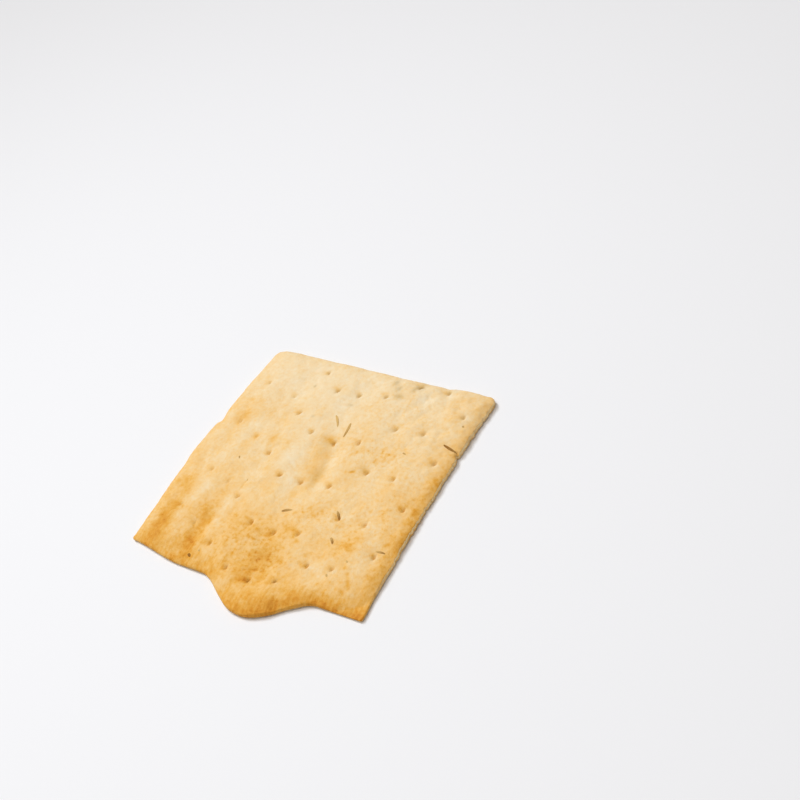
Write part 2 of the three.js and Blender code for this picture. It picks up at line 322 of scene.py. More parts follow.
def pricked(x, y):
    """Depth of the holes: a product of depth exp(-q^n) along and exp(-q^2) across, with q the distance in
    half widths, and a wide low dimple. Behind, the dough slopes in ever more steeply, so n is 1. Ahead, where
    the pin leaned, n is 4, which leaves a steep wall with a low raised lip behind it."""
    ahead, aside = pin_offsets(x, y)
    ahead, aside = ahead / per_pin(prick_size), aside / per_pin(prick_size)
    along = np.where(ahead > 0, (ahead / PRICK_AHEAD) ** WALL_POWER, -ahead / PRICK_BEHIND)
    prick = per_pin(prick_depth) * np.exp(-along - (aside / PRICK_ASIDE) ** 2)
    dimple = DIMPLE_DEPTH * np.exp(-(np.hypot(ahead, aside) / DIMPLE_RADIUS) ** 2)
    lip = LIP_HEIGHT * np.exp(-(((ahead - LIP_AHEAD) / LIP_HALF) ** 2) - aside**2)
    return (prick + dimple - lip).sum(0)


print("pricks from", prick_depth.min().round(2), "to", prick_depth.max().round(2), "mm deep")

# %% Cracks and creases
CREASES = [  # from, to, depth, half width, browning
    ((56.5, 25.2), (59.8, 23.6), 1.0, 0.45, 0.0),
    ((0.4, -54.4), (6.0, -52.4), 0.50, 0.4, 0.09),
    ((-26.0, -15.2), (-26.2, -21.0), 0.25, 0.45, 0.12),
    ((29.2, -38.8), (35.0, -35.8), 0.12, 0.6, 0.06),
    ((4.2, 9.0), (6.6, -8.5), 1.15, 4.0, 0.0),
    ((1.2, 13.9), (2.2, 13.0), 0.60, 0.5, 0.12),
    ((13.6, 10.6), (15.6, 11.8), 0.06, 0.9, 0.22),
    ((17.2, 12.8), (19.2, 14.0), 0.06, 0.9, 0.22),
    ((3.1, 6.6), (8.1, 8.6), 0.05, 0.5, 0.12),
    ((25.9, 15.2), (26.6, 17.6), 0.08, 0.8, 0.24),
    ((28.2, 13.2), (29.4, 14.8), 0.08, 0.9, 0.26),
    ((28.6, 11.6), (29.4, 12.2), 0.06, 0.8, 0.24),
    ((31.5, 12.4), (32.4, 15.2), 0.06, 0.8, 0.18),
    ((18.2, 1.8), (19.6, 2.6), 0.12, 0.7, 0.42),
    ((16.0, 1.2), (17.4, 1.6), 0.05, 0.6, 0.18),
    ((44.1, -42.1), (47.6, -47.6), 0.05, 0.9, 0.28),
    ((21.9, -44.4), (22.6, -44.9), 0.35, 0.55, 0.14),
    ((-55.2, -49.3), (-48.2, -51.8), 0.05, 0.8, 0.10),
    ((-54.6, -43.1), (-47.2, -47.2), 0.05, 0.8, 0.09),
    ((-35.0, -47.6), (-29.0, -51.6), 0.05, 0.8, 0.08),
]


def stroke(x, y, start, end, half_width):
    """A share exp(-(distance / half width)^2) round a straight stroke between two ends."""
    run_x, run_y = end[0] - start[0], end[1] - start[1]
    t = np.clip(((x - start[0]) * run_x + (y - start[1]) * run_y) / (run_x**2 + run_y**2), 0, 1)
    distance = np.hypot(x - start[0] - t * run_x, y - start[1] - t * run_y)
    return np.exp(-((distance / half_width) ** 2))


print("creases:", len(CREASES))

# %% Troughs between the ribs
TROUGHS = [  # x, half width, y of its near and far end, sag, browning; a negative sag is a ridge
    (-52, 4.0, -58, -26, 0.45, 0.14),
    (-43, 4.0, -54, -20, -0.20, -0.08),
    (-31.5, 3.6, -58, -36, 0.60, 0.14),
    (-26.5, 2.6, -46, -26, -0.30, -0.14),
    (7.5, 6.5, -62, -38, 1.15, 0.0),
]
TROUGH_FADE = 9


def trough(x, y, middle, half_width, near_end, far_end):
    """A share exp(-(distance / half width)^2) across the trough, which fades in and out at its two ends."""
    fade = smoothstep(y, near_end - TROUGH_FADE, near_end + TROUGH_FADE)
    fade = fade * (1 - smoothstep(y, far_end - TROUGH_FADE, far_end + TROUGH_FADE))
    return np.exp(-(((x - middle) / half_width) ** 2)) * fade


print("troughs and ridges:", len(TROUGHS))

# %% The whole top
BLISTERS = [(8.0, 0.30, 11), (3.6, 0.18, 12), (1.6, 0.08, 13)]  # size, height, seed
LUMPY_BAND, LUMPIER = (18, 46), 2.0
HIGHEST = (4.75, 0.28)


def baked_top(x, y):
    """The sheet's height plus blisters, levelled off, less troughs, creases and holes. It is lumpier towards
    the far right."""
    lumps = layered_noise(x, y, BLISTERS) * lerp(1, LUMPIER, smoothstep((x + y) / 2, *LUMPY_BAND))
    creases = sum(depth * stroke(x, y, *ends, half_width) for *ends, depth, half_width, _ in CREASES)
    sags = sum(sag * trough(x, y, *place) for *place, sag, _ in TROUGHS)
    return level_off(sheet_height(x, y) + lumps, *HIGHEST) - sags - creases - pricked(x, y)


print("top at the origin, mm:", round(baked_top(np.zeros((1, 1)), np.zeros((1, 1))).item(), 2))

# %% [markdown]
# ## The dough as one closed skin
#
# The piece is modelled as one skin: a fine grid over the top, rows that go round the rim, and a grid of half
# the fineness underneath, where nothing small is seen. A subdivided cube would give the same closed form, but
# here each part gets the fineness that it needs. The last row round the rim joins two fine cells to each
# coarse one.

# %% Grids and rim
TOP_CELLS, RIM_ROWS = 264, 8
RIM_LIFT = (0.5, 3)
DRAWN_REACH, DRAWN_SHARE = 4.5, 0.7


def border(grid):
    """A grid's border, once round: near side, right side, far side, left side."""
    return np.concatenate([grid[:-1, 0], grid[-1, :-1], grid[:0:-1, -1], grid[0, :0:-1]])


def drawn_to_pins(x, y):
    """Points within reach of a pin move straight towards it, from distance r to r (1 - share (1 - q^2)^2)
    with q = r / reach, so that the small pricks get a finer net."""
    away_x, away_y = away_from_pins(x, y)
    pull = DRAWN_SHARE * swell(np.hypot(away_x, away_y) / DRAWN_REACH)
    return x - (pull * away_x).sum(0), y - (pull * away_y).sum(0)


def underside_height(x, y):
    """The flat underside, which lifts in a parabola along the rim."""
    return fall(*RIM_LIFT, nearest_edge(x, y))


shares = np.linspace(0, 1, TOP_CELLS + 1)
top_across, top_along = np.meshgrid(shares, shares, indexing="ij")
top_x, top_y = drawn_to_pins(*plan_place(top_across, top_along, 1))
top_z = baked_top(top_x, top_y)

under_x, under_y = plan_place(top_across[::2, ::2], top_along[::2, ::2], 1)
under_z = underside_height(under_x, under_y)

rim_angle = np.pi * (1 - np.arange(1, RIM_ROWS + 1) / (RIM_ROWS + 1))[:, None]
rim_up = (1 - np.cos(rim_angle)) / 2
rim_x, rim_y = plan_place(border(top_across)[None], border(top_along)[None], 1 - np.sin(rim_angle))
rim_z = lerp(underside_height(rim_x, rim_y), baked_top(rim_x, rim_y), rim_up)
print("rim height, mm:", round(float(np.ptp(rim_z)), 2))

# %% Crumbly cut on the right
CUT_BAND, CUT_GROWS = (-1.6, -0.6), (8, 26)
CRUMBLE, CRUMBLE_INWARDS = 0.5, 0.15
CRUMBLE_LAYERS = [(1.1, 0.6, 31), (0.55, 0.4, 32)]  # size, share, seed

_, rim_right, rim_near, _ = edge_distances(rim_x, rim_y)
on_cut = smoothstep(-rim_right, *CUT_BAND) * smoothstep(rim_near, *CUT_GROWS)
crumbs = CRUMBLE_INWARDS + layered_noise(rim_y, rim_z, CRUMBLE_LAYERS)
crumbled = CRUMBLE * on_cut * np.sin(rim_angle) * crumbs
rim_x = rim_x - crumbled
print("cut face moved in by", crumbled.min().round(2), "to", crumbled.max().round(2), "mm")

# %% Uneven sides
WARP, WARP_SIZE, WARP_SEEDS = 0.22, 6.5, (21, 22)
BITE, BITE_OFTEN, BITE_FADE, BITES_GROW = 0.9, 0.25, 0.6, (4, 50)
BITE_LAYERS = [(1.1, 0.5, 35), (1.1 / 2.3, 0.5, 36)]  # size, share, seed
NICK, NICK_Y, NICK_HALF = 0.9, 29.5, 0.9
SPLIT, SPLIT_Y, SPLIT_HALF, SPLIT_FADE = 1.2, 23.7, 0.7, 1.6


def warped(x, y):
    """The plan with a slight seeded waver, so that no side is ruler-straight."""
    waver_x, waver_y = (WARP * skin_noise(x, y, WARP_SIZE, seed) for seed in WARP_SEEDS)
    return x + waver_x, y + waver_y


def dying_away(distance, fade):
    """A share exp(-distance / fade) that is 1 on a side and dies away inwards."""
    return np.exp(-np.maximum(0, distance) / fade)


def ragged(x, y):
    """The right side with small bites of noise out of its edge and one split, and the left side with one
    nick. Split and nick are exp(-q^2) along their side, with q the distance in half widths. All die away
    inwards."""
    left, right, near, _ = edge_distances(x, y)
    bites = np.maximum(0, BITE_OFTEN + layered_noise(x * 0, y, BITE_LAYERS)) * smoothstep(near, *BITES_GROW)
    bitten = BITE * bites * dying_away(right, BITE_FADE)
    nicked = NICK * np.exp(-(((y - NICK_Y) / NICK_HALF) ** 2)) * dying_away(left, BITE_FADE)
    split = SPLIT * np.exp(-(((y - SPLIT_Y) / SPLIT_HALF) ** 2)) * dying_away(right, SPLIT_FADE)
    return x - bitten - split + nicked, y


top_x, top_y = warped(*ragged(top_x, top_y))
under_x, under_y = warped(*ragged(under_x, under_y))
rim_x, rim_y = warped(*ragged(rim_x, rim_y))
print("plan, mm:", np.ptp(rim_x).round(2), "by", np.ptp(rim_y).round(2))

# %% Join the skin
top_id = np.arange(top_x.size).reshape(top_x.shape)
rim_id = top_x.size + np.arange(rim_x.size).reshape(rim_x.shape)
under_id = top_x.size + rim_x.size + np.arange(under_x.size).reshape(under_x.shape)
rings = np.vstack([border(top_id), rim_id])
next_rings = np.roll(rings, -1, axis=1)
coarse = border(under_id)
next_coarse = np.roll(coarse, -1)
fine, middle, next_fine = rings[-1, 0::2], rings[-1, 1::2], next_rings[-1, 1::2]


def cells(a, b, c, d):
    """Four arrays of corners as one list of four-sided faces."""
    return np.stack([a.ravel(), b.ravel(), c.ravel(), d.ravel()], axis=1)


quads = np.vstack([
    cells(top_id[:-1, :-1], top_id[1:, :-1], top_id[1:, 1:], top_id[:-1, 1:]),
    cells(under_id[:-1, :-1], under_id[:-1, 1:], under_id[1:, 1:], under_id[1:, :-1]),
    cells(rings[1:], next_rings[1:], next_rings[:-1], rings[:-1]),
    cells(coarse, next_coarse, next_fine, middle),
])
corners = np.stack([coarse, middle, fine], axis=1)
dough_points = np.column_stack([
    np.concatenate([top_x.ravel(), rim_x.ravel(), under_x.ravel()]),
    np.concatenate([top_y.ravel(), rim_y.ravel(), under_y.ravel()]),
    np.concatenate([top_z.ravel(), rim_z.ravel(), under_z.ravel()]),
])
plan_centre = (dough_points.min(0) + dough_points.max(0))[:2] / 2
print("triangles:", 2 * len(quads) + len(corners), "plan centre:", plan_centre.round(2))

# %% Put a piece into Blender
def make_piece(name, points, faces):
    """A smooth mesh object at the origin from places on the plan in millimetres."""
    metres = (points - [*plan_centre, 0]) / 1000
    mesh = bpy.data.meshes.new(name)
    mesh.from_pydata(metres, [], faces)
    mesh.polygons.foreach_set("use_smooth", np.ones(len(mesh.polygons), bool))
    piece = bpy.data.objects.new(name, mesh)
    scene.collection.objects.link(piece)
    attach(piece, "root")
    return piece


def give_values(piece, values):
    """Named numbers for every point of a piece, which its material can read."""
    for name, numbers in values.items():
        attribute = piece.data.attributes.new(name, "FLOAT", "POINT")
        attribute.data.foreach_set("value", numbers.astype(np.float32))


dough = make_piece("baked_sheet", dough_points, quads.tolist() + corners.tolist())
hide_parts("pizza_base")
print("skin:", len(dough.data.vertices), "points")

# %% [markdown]
# ## Where the oven browned it
#
# Dough browns where it is thin, high or close to the hot rim, so the colour belongs to places on this one
# piece. An image would hold that, but it would be a picture and not a rule. Instead each point of the mesh
# gets a number for its browning, worked out from the distances to the sides, the ribs and a few patches, and
# the material reads it. The same number also carries painted shade in the holes and in a few patches, and a
# painted highlight on the lips of the holes.

# %% Browned and pale patches, a few of them painted shade or painted light
BROWNING_AND_SHADE_PATCHES = [  # x, y, half width, half length, browning
    (20.0, 48.5, 6.5, 6.0, 0.11),
    (29.5, 46.0, 3.5, 5.0, -0.09),
    (35.5, 49.5, 3.5, 3.5, 0.06),
    (45.5, 43.0, 5.5, 11.0, 0.20),
    (52.5, 40.5, 3.2, 5.5, -0.11),
    (29.0, 39.0, 3.0, 3.0, 0.08),
    (-31.0, 45.5, 4.0, 4.5, 0.07),
    (-55.0, 36.0, 4.0, 6.0, 0.08),
    (11.0, 37.0, 4.5, 10.0, 0.08),
    (-6.0, 33.0, 5.0, 5.0, -0.09),
    (35.0, 33.0, 5.0, 6.0, 0.10),
    (-48.0, 23.5, 7.0, 6.0, 0.08),
    (-50.0, 14.5, 3.2, 6.5, 0.22),
    (-57.0, 10.0, 3.0, 9.0, -0.12),
    (-49.5, 0.0, 2.8, 7.0, 0.14),
    (-19.0, 0.0, 3.0, 4.5, 0.08),
    (-56.0, -9.0, 4.0, 5.0, 0.10),
    (-43.0, 8.0, 3.8, 7.0, -0.14),
    (-27.9, 8.6, 1.7, 3.0, 0.30),
    (-37.2, 6.4, 1.7, 2.6, 0.28),
    (-39.0, 12.5, 3.5, 3.0, -0.10),
    (-24.0, 15.0, 5.0, 5.0, -0.05),
    (-18.7, 7.7, 2.0, 1.4, 0.18),
    (-13.5, 16.5, 4.5, 4.5, -0.20),
    (-13.6, 2.5, 4.0, 6.0, -0.14),
    (-6.5, -11.5, 4.0, 7.0, -0.15),
    (-2.6, 9.5, 4.0, 5.0, 0.16),
    (-1.6, 15.4, 3.6, 2.0, 0.26),
    (5.8, 9.0, 3.0, 3.0, -0.11),
    (3.4, -4.0, 3.0, 5.0, 0.24),
    (0.0, 4.0, 2.6, 6.0, 0.08),
    (6.5, 3.5, 2.8, 3.5, -0.12),
    (-0.5, -15.0, 3.0, 4.0, 0.10),
    (11.5, -5.0, 3.0, 5.0, -0.06),
    (16.0, -8.0, 4.0, 4.0, 0.10),
    (-8.0, -2.0, 3.5, 4.0, -0.08),
    (-25.5, -8.0, 4.0, 9.0, -0.09),
    (11.0, 21.0, 9.0, 5.0, 0.08),
    (21.0, 14.0, 10.0, 5.0, 0.06),
    (29.5, 20.5, 4.0, 4.0, 0.12),
    (30.1, 15.0, 2.4, 2.4, 0.08),
    (25.5, 10.5, 0.9, 0.9, 0.38),
    (51.0, 11.0, 2.5, 6.0, -0.08),
    (23.5, -11.0, 4.5, 6.0, -0.09),
    (26.0, -27.5, 5.5, 4.0, -0.08),
    (-54.4, -23.0, 3.5, 4.5, 0.12),
    (-49.0, -27.5, 3.0, 4.0, 0.10),
    (-50.4, -37.0, 1.5, 2.6, 0.10),
    (-50.2, -49.5, 3.4, 7.0, 0.19),
    (-39.0, -21.0, 6.0, 7.0, -0.12),
    (-46.5, -26.0, 3.5, 6.5, 0.09),
    (-37.0, -27.0, 2.5, 3.5, -0.07),
    (-35.5, -11.5, 5.0, 5.5, 0.09),
    (-43.5, -32.0, 3.0, 4.0, -0.05),
    (-28.0, -31.0, 3.5, 3.5, -0.09),
    (-35.6, -34.2, 3.0, 3.6, 0.19),
    (-33.0, -41.0, 3.2, 5.0, 0.20),
    (-33.2, -50.5, 3.8, 4.6, 0.20),
    (-37.5, -45.0, 3.0, 7.0, -0.04),
    (-14.5, -35.5, 5.0, 5.0, 0.18),
    (11.5, -35.0, 3.0, 3.5, 0.06),
    (0.5, -35.5, 3.5, 3.0, 0.12),
    (4.0, -46.0, 8.0, 8.0, 0.13),
    (-7.0, -40.0, 6.0, 4.0, 0.06),
    (8.1, -23.1, 4.0, 2.0, 0.04),
    (15.4, -19.4, 2.6, 1.8, 0.04),
    (15.0, -36.1, 1.1, 1.1, 0.32),
    (36.5, -31.5, 5.0, 1.9, 0.34),
    (42.1, -40.0, 1.2, 1.0, 0.24),
    (32.5, -45.5, 11.0, 6.0, -0.20),
    (45.5, -35.5, 5.5, 7.0, -0.17),
    (34.5, -39.0, 3.2, 2.8, -0.09),
    (-56.0, -47.5, 2.8, 6.0, -0.08),
    (54.5, -32.0, 2.5, 5.0, 0.10),
    (55.0, -7.5, 1.4, 1.6, 0.28),
    (46.5, -11.0, 5.0, 7.0, 0.17),
    (34.5, -14.0, 4.0, 4.0, 0.11),
    (39.5, -27.0, 4.0, 3.0, 0.26),
    (38.0, 8.5, 5.0, 3.0, 0.09),
    (23.5, 3.0, 2.5, 2.5, 0.08),
    (20.0, 36.0, 5.0, 5.0, -0.05),
    (-9.0, 23.0, 8.0, 5.0, -0.10),
    (-9.0, -64.0, 7.0, 4.0, -0.08),
    (3.2, -58.6, 3.2, 1.7, 0.22),
    (1.0, -57.5, 5.0, 3.0, 0.14),
    (28.5, -58.0, 6.0, 2.8, 0.17),
    (14.0, -62.0, 12.0, 4.0, 0.08),
    (13.5, -71.0, 10.0, 3.0, 0.22),
    (23.0, -62.8, 4.5, 2.6, 0.10),
    (9.0, -56.5, 10.0, 3.0, 0.07),
    (46.0, -58.5, 13.0, 2.4, 0.19),
    (-45.0, -58.0, 16.0, 3.0, -0.06),
    # Paler band: painted light that lifts the shade where the top falls towards the near edge
    (44.0, -51.5, 14.0, 3.2, -0.11),
    (34.8, -50.1, 0.8, 0.8, 0.26),
    (45.8, -49.6, 1.8, 1.2, 0.18),
    (-53.0, 26.0, 1.6, 1.8, 0.20),
    (3.5, -46.5, 5.0, 5.0, 0.10),
    (55.0, -50.0, 3.5, 10.0, 0.04),
    # Painted shade at the drooping near right corner
    (56.5, -56.8, 5.0, 2.4, 0.14),
    (36.0, 54.5, 3.0, 2.5, -0.05),
    (47.5, 51.5, 3.2, 2.8, 0.08),
    (17.0, 51.5, 3.0, 2.5, 0.07),
    (15.4, -55.6, 2.6, 1.7, 0.20),
    (13.1, -46.3, 2.0, 1.5, 0.20),
    (-29.6, -38.9, 1.4, 4.0, 0.13),
    (-29.8, -48.2, 1.6, 3.0, 0.12),
    (-2.0, -36.4, 3.4, 1.4, 0.18),
    (-46.6, -23.5, 1.1, 0.9, 0.15),
    (-39.5, -55.0, 3.0, 3.0, -0.09),
    (-35.2, -50.8, 1.7, 1.4, -0.11),
    (31.3, -15.7, 2.0, 1.8, 0.10),
    (10.5, -31.2, 3.4, 1.4, 0.16),
    (9.1, -25.3, 0.9, 0.8, 0.22),
    (15.0, -22.3, 1.3, 0.8, 0.22),
    (9.6, -22.6, 0.9, 0.6, 0.18),
    (16.9, -19.3, 1.1, 0.9, 0.20),
    (11.9, -19.6, 1.0, 0.8, 0.18),
    (6.1, -24.0, 1.2, 0.8, 0.15),
    (-49.4, -36.0, 1.1, 1.3, 0.20),
    (-46.4, -36.4, 0.9, 0.7, 0.18),
    # Painted shade along the near right edge, where it falls away from the light
    (51.0, -57.8, 9.0, 2.2, 0.18),
    (-54.5, -57.0, 5.0, 2.6, 0.12),
]


def spots(x, y, rows):
    """The sum of soft oval spots, each strength exp(-(across / half width)^2 - (along / half length)^2)."""
    return sum(
        strength * np.exp(-(((x - spot_x) / spot_width) ** 2) - ((y - spot_y) / spot_length) ** 2)
        for spot_x, spot_y, spot_width, spot_length, strength in rows
    )


print("patches:", len(BROWNING_AND_SHADE_PATCHES))

# %% Browning of the top
LEFT, RIGHT, NEAR, FAR = range(4)  # in the order of edge_distances
SIDES_BROWNED = [  # side, width, strength, browning of the near half and of the far end
    (LEFT, 6.5, 0.6, 0.58, 0.32),
    (RIGHT, 6.5, 1.0, 0.66, 0.48),
    (NEAR, 6.5, 0.9, 0.74, 0.74),
    (FAR, 4.0, 0.5, 0.30, 0.30),
]
SIDES_CHANGE = (5, 45)
FACE_NEAR, FACE_MIDDLE, FACE_PALES = 0.575, 0.29, (-66, 14)
FAR_PALER, FAR_PALES = 0.14, (14, 50)
MOTTLES = [(10, 0.06, 41), (5, 0.07, 42)]  # size, swing, seed
MOTTLE_NEAR, MOTTLE_FAR, MOTTLE_CALMS = 1.1, 0.7, (-20, 50)
BROWNEST = (0.68, 0.25)


def browning_and_shade_of_top(x, y):
    """A face that pales towards the far side in two steps. Along each side it is drawn towards that side's
    own browning, by a share strength exp(-(distance / width)^2). Troughs, creases, patches and mottling are
    added to that. At the top the browning levels off, as it does in an even oven."""
    face = lerp(FACE_NEAR, FACE_MIDDLE, smoothstep(y, *FACE_PALES)) - FAR_PALER * smoothstep(y, *FAR_PALES)
    distances = np.maximum(edge_distances(x, y), 0)
    for side, width, strength, near_half, far_end in SIDES_BROWNED:
        browned = np.maximum(face, lerp(near_half, far_end, smoothstep(y, *SIDES_CHANGE)))
        face = lerp(face, browned, strength * np.exp(-((distances[side] / width) ** 2)))
    troughs = sum(browned * trough(x, y, *place) for *place, _, browned in TROUGHS)
    creases = sum(browned * stroke(x, y, *ends, width) for *ends, _, width, browned in CREASES)
    mottle = layered_noise(x, y, MOTTLES) * lerp(MOTTLE_NEAR, MOTTLE_FAR, smoothstep(y, *MOTTLE_CALMS))
    # A few of the patches are painted shade or painted light, not browning.
    return level_off(face + spots(x, y, BROWNING_AND_SHADE_PATCHES) + troughs + creases + mottle, *BROWNEST)


top_browning_and_shade = browning_and_shade_of_top(top_x, top_y)
print("browning of the top from", top_browning_and_shade.min().round(2), "to", top_browning_and_shade.max().round(2))

# %% Browning, painted shade and a painted highlight round the holes
HOLE_BROWNING_AND_SHADE, HOLE_BEHIND, HOLE_ASIDE, HOLE_BACK, HOLE_FRONT = 0.84, 2.3, 1.5, 1.1, (-0.6, 0.4)
HOLE_STRENGTH, HOLE_PALES = (0.60, 0.40), (5, 40)
LIP_HIGHLIGHT = 0.12

hole_ahead, hole_aside = pin_offsets(top_x, top_y)
hole_weight = per_pin(pin_depth / pin_depth.max())
hole_share = np.exp(-(((hole_ahead + HOLE_BACK) / HOLE_BEHIND) ** 2) - (hole_aside / HOLE_ASIDE) ** 2)
hole_share = (hole_share * (1 - smoothstep(hole_ahead, *HOLE_FRONT)) * hole_weight).max(0)
lip_share = np.exp(-((hole_ahead - LIP_AHEAD) ** 2) - hole_aside**2).max(0)
far_share = smoothstep(top_y, *HOLE_PALES)
hole_strength = lerp(*HOLE_STRENGTH, far_share) * hole_share
# Partly browning and partly painted shade: the back slope of each hole, which faces away from the light, is
# drawn towards a dark crust colour. The lip ahead, which faces the light, is made paler as a painted highlight.
in_holes = lerp(top_browning_and_shade, np.maximum(top_browning_and_shade, HOLE_BROWNING_AND_SHADE), hole_strength)
top_browning_and_shade = in_holes - LIP_HIGHLIGHT * lip_share
print("browned most by a hole, share:", hole_strength.max().round(2))

# %% Browning of the whole skin
UNDER_BROWNED, RIM_TURNS = 0.45, (0, 0.5)
UNDER_MOTTLES = [(16, 0.16, 51), (6, 0.10, 52)]  # size, swing, seed


def browning_of_underside(x, y):
    """Even browning from the baking plate with broad toasted patches."""
    return UNDER_BROWNED + layered_noise(x, y, UNDER_MOTTLES)


rim_turned = smoothstep(rim_up, *RIM_TURNS)
rim_browning = lerp(browning_of_underside(rim_x, rim_y), browning_and_shade_of_top(rim_x, rim_y), rim_turned)
under_browning = browning_of_underside(under_x, under_y)
browning = np.concatenate([top_browning_and_shade.ravel(), rim_browning.ravel(), under_browning.ravel()])
print("browning from", browning.min().round(2), "to", browning.max().round(2))

# %% Stains, painted shade and freckles
STAINS_AND_SHADE_SPOTS = [  # x, y, half width, half length, strength
    # Herb stains under the skin, and painted shade in a split, a trough, two holes and on slopes that face away
    # from the light
    (11.6, 52.6, 1.3, 2.0, 0.36),
    (14.8, 49.4, 1.5, 2.0, 0.38),
    (17.1, 45.2, 2.4, 1.5, 0.40),
    (23.6, 53.4, 2.2, 2.2, 0.42),
    (22.0, 50.4, 1.2, 1.6, 0.32),
    (-26.4, 41.1, 0.6, 0.8, 0.45),
    (-2.9, 35.4, 1.4, 0.9, 0.30),
    (-16.4, 24.4, 0.9, 0.8, 0.30),
    (37.8, 54.8, 1.7, 1.3, 0.18),
    # Painted shade in the split at the right side
    (58.3, 24.3, 1.5, 0.7, 0.50),
    (5.0, -45.5, 8.0, 6.0, 0.10),
    (-49.0, -44.0, 4.0, 14.0, 0.09),
    # Painted shade on the shaded wall of the middle trough
    (3.6, -3.2, 2.5, 5.0, 0.24),
    (-1.8, 14.0, 3.0, 3.0, 0.17),
    (-2.0, 8.0, 2.0, 3.5, 0.10),
    (22.8, 4.8, 2.0, 2.0, 0.15),
    (57.0, 44.0, 2.5, 12.0, 0.10),
    # Painted shade on the slope of a trough
    (-31.5, -35.0, 2.8, 4.0, 0.09),
    # Painted shade along the near right edge, where it falls away from the light
    (52.0, -57.2, 10.0, 2.2, 0.14),
    # Painted shade in the cores of two holes near the front
    (5.6, -58.2, 1.1, 0.7, 0.30),
    (16.9, -55.0, 1.0, 0.6, 0.34),
]
FRECKLED = [  # x, y, half width, half length, strength
    (5, -46, 14, 14, 0.7),
    (20, -22, 16, 10, 0.7),
    (24, 13, 14, 9, 0.9),
    (22, 40, 18, 12, 0.5),
    (-12, -42, 12, 10, 0.5),
    (45, -15, 14, 30, 0.5),
    (-40, -42, 16, 18, 0.2),
]
HOLE_CORE_SHADE, CORE_BACK, CORE_LENGTH = (0.22, 0.34), 0.4, 0.9
FRECKLED_PLAIN, FRECKLED_UNDER = 0.15, 0.5

# The cores of the holes are darkened towards the stain colour: painted shade where the pits are deepest.
core_share = np.exp(-(((hole_ahead + CORE_BACK) / CORE_LENGTH) ** 2) - hole_aside**2)
core_share = (core_share * hole_weight).max(0)
stains_and_shade = lerp(*HOLE_CORE_SHADE, far_share) * core_share + spots(top_x, top_y, STAINS_AND_SHADE_SPOTS)
freckled = FRECKLED_PLAIN + spots(top_x, top_y, FRECKLED)
print("strongest stain:", stains_and_shade.max().round(2), "most freckled:", freckled.max().round(2))

# %% Cut crumb and streaked skin
STREAK_BAND, CRUMB_SHOWS = (-22, -4), (0.2, 0.6)

_, _, top_near, _ = edge_distances(top_x, top_y)
streaks = smoothstep(-top_near, *STREAK_BAND)
crumb = on_cut * smoothstep(rim_up, *CRUMB_SHOWS)
no_top, no_rim, no_under = np.zeros(top_x.size), np.zeros(rim_x.size), np.zeros(under_x.size)
skin_values = {
    "browning": browning,
    "crumb": np.concatenate([no_top, crumb.ravel(), no_under]),
    "streaks": np.concatenate([streaks.ravel(), no_rim + 1, no_under]),
    "stains_and_shade": np.concatenate([stains_and_shade.ravel(), no_rim, no_under]),
    "freckled": np.concatenate([freckled.ravel(), no_rim + FRECKLED_PLAIN, no_under + FRECKLED_UNDER]),
}
give_values(dough, skin_values)
print("skin values:", list(skin_values))

# %% [markdown]
# ## Baked dough
#
# The skin is starch and flour dried to a matt crust, cream where it stayed pale and orange to brown where it
# toasted. Its colour comes from one ramp of baking colours, looked up by the browning number plus fine noise,
# because real crust takes the same steps of colour everywhere. Grain comes from a bump at the size of flour
# specks.

# %% Colours and nodes
COLOUR_A, COLOUR_B, MIXED_COLOUR = 6, 7, 2  # sockets of a Mix node that mixes colours
MIX_COLOURS, MULTIPLY_ADD = {"data_type": "RGBA"}, {"operation": "MULTIPLY_ADD"}


def linear(colour):
    """A hex sRGB colour as the linear values that Blender's sockets hold."""
    srgb = np.array([int(colour[i:i + 2], 16) for i in (1, 3, 5)]) / 255
    return (*np.where(srgb <= 0.04045, srgb / 12.92, ((srgb + 0.055) / 1.055) ** 2.4), 1.0)


def set_inputs(material, node, inputs):
    """Inputs of a node, given as values or as other nodes' outputs."""
    for name, value in inputs.items():
        if isinstance(value, bpy.types.NodeSocket):
            material.node_tree.links.new(value, node.inputs[name])
        else:
            node.inputs[name].default_value = value


def add_node(material, kind, settings, inputs):
    """One node of a material with its settings and its inputs."""
    node = material.node_tree.nodes.new(kind)
    for name, value in settings.items():
        setattr(node, name, value)
    set_inputs(material, node, inputs)
    return node


def start_material(name, piece):
    """A new node material on a piece, and its shader."""
    material = bpy.data.materials.new(name)
    material.use_nodes = True
    piece.data.materials.append(material)
    return material, material.node_tree.nodes["Principled BSDF"]


print("white is", linear("#FFFFFF")[0], "and middle grey", round(float(linear("#777777")[0]), 3))

# %% Noise of the crust
MOTTLE_MM, FRECKLE_MM, STREAK_MM, STREAK_LENGTH_MM = 3.4, 1.5, 1.0, 6.0

# Baked wheat dough: rolled thin, pricked, and dried in the oven to a matt skin of starch and flour
crust, crust_shader = start_material("baked_dough_crust", dough)
crust_places = add_node(crust, "ShaderNodeTexCoord", {}, {}).outputs["Object"]
mottle = add_node(crust, "ShaderNodeTexNoise", {}, {
    "Vector": crust_places, "Scale": 1000 / MOTTLE_MM, "Detail": 3, "Roughness": 0.6,
})
freckle = add_node(crust, "ShaderNodeTexNoise", {}, {
    "Vector": crust_places, "Scale": 1000 / FRECKLE_MM, "Detail": 1.5, "Roughness": 0.5,
})
streak_places = add_node(crust, "ShaderNodeMapping", {}, {
    "Vector": crust_places, "Scale": (1000 / STREAK_MM, 1000 / STREAK_LENGTH_MM, 1000 / STREAK_LENGTH_MM),
})
streak = add_node(crust, "ShaderNodeTexNoise", {}, {
    "Vector": streak_places.outputs["Vector"], "Scale": 1, "Detail": 2, "Roughness": 0.5,
})
print("noise sizes, mm:", MOTTLE_MM, FRECKLE_MM, STREAK_MM)

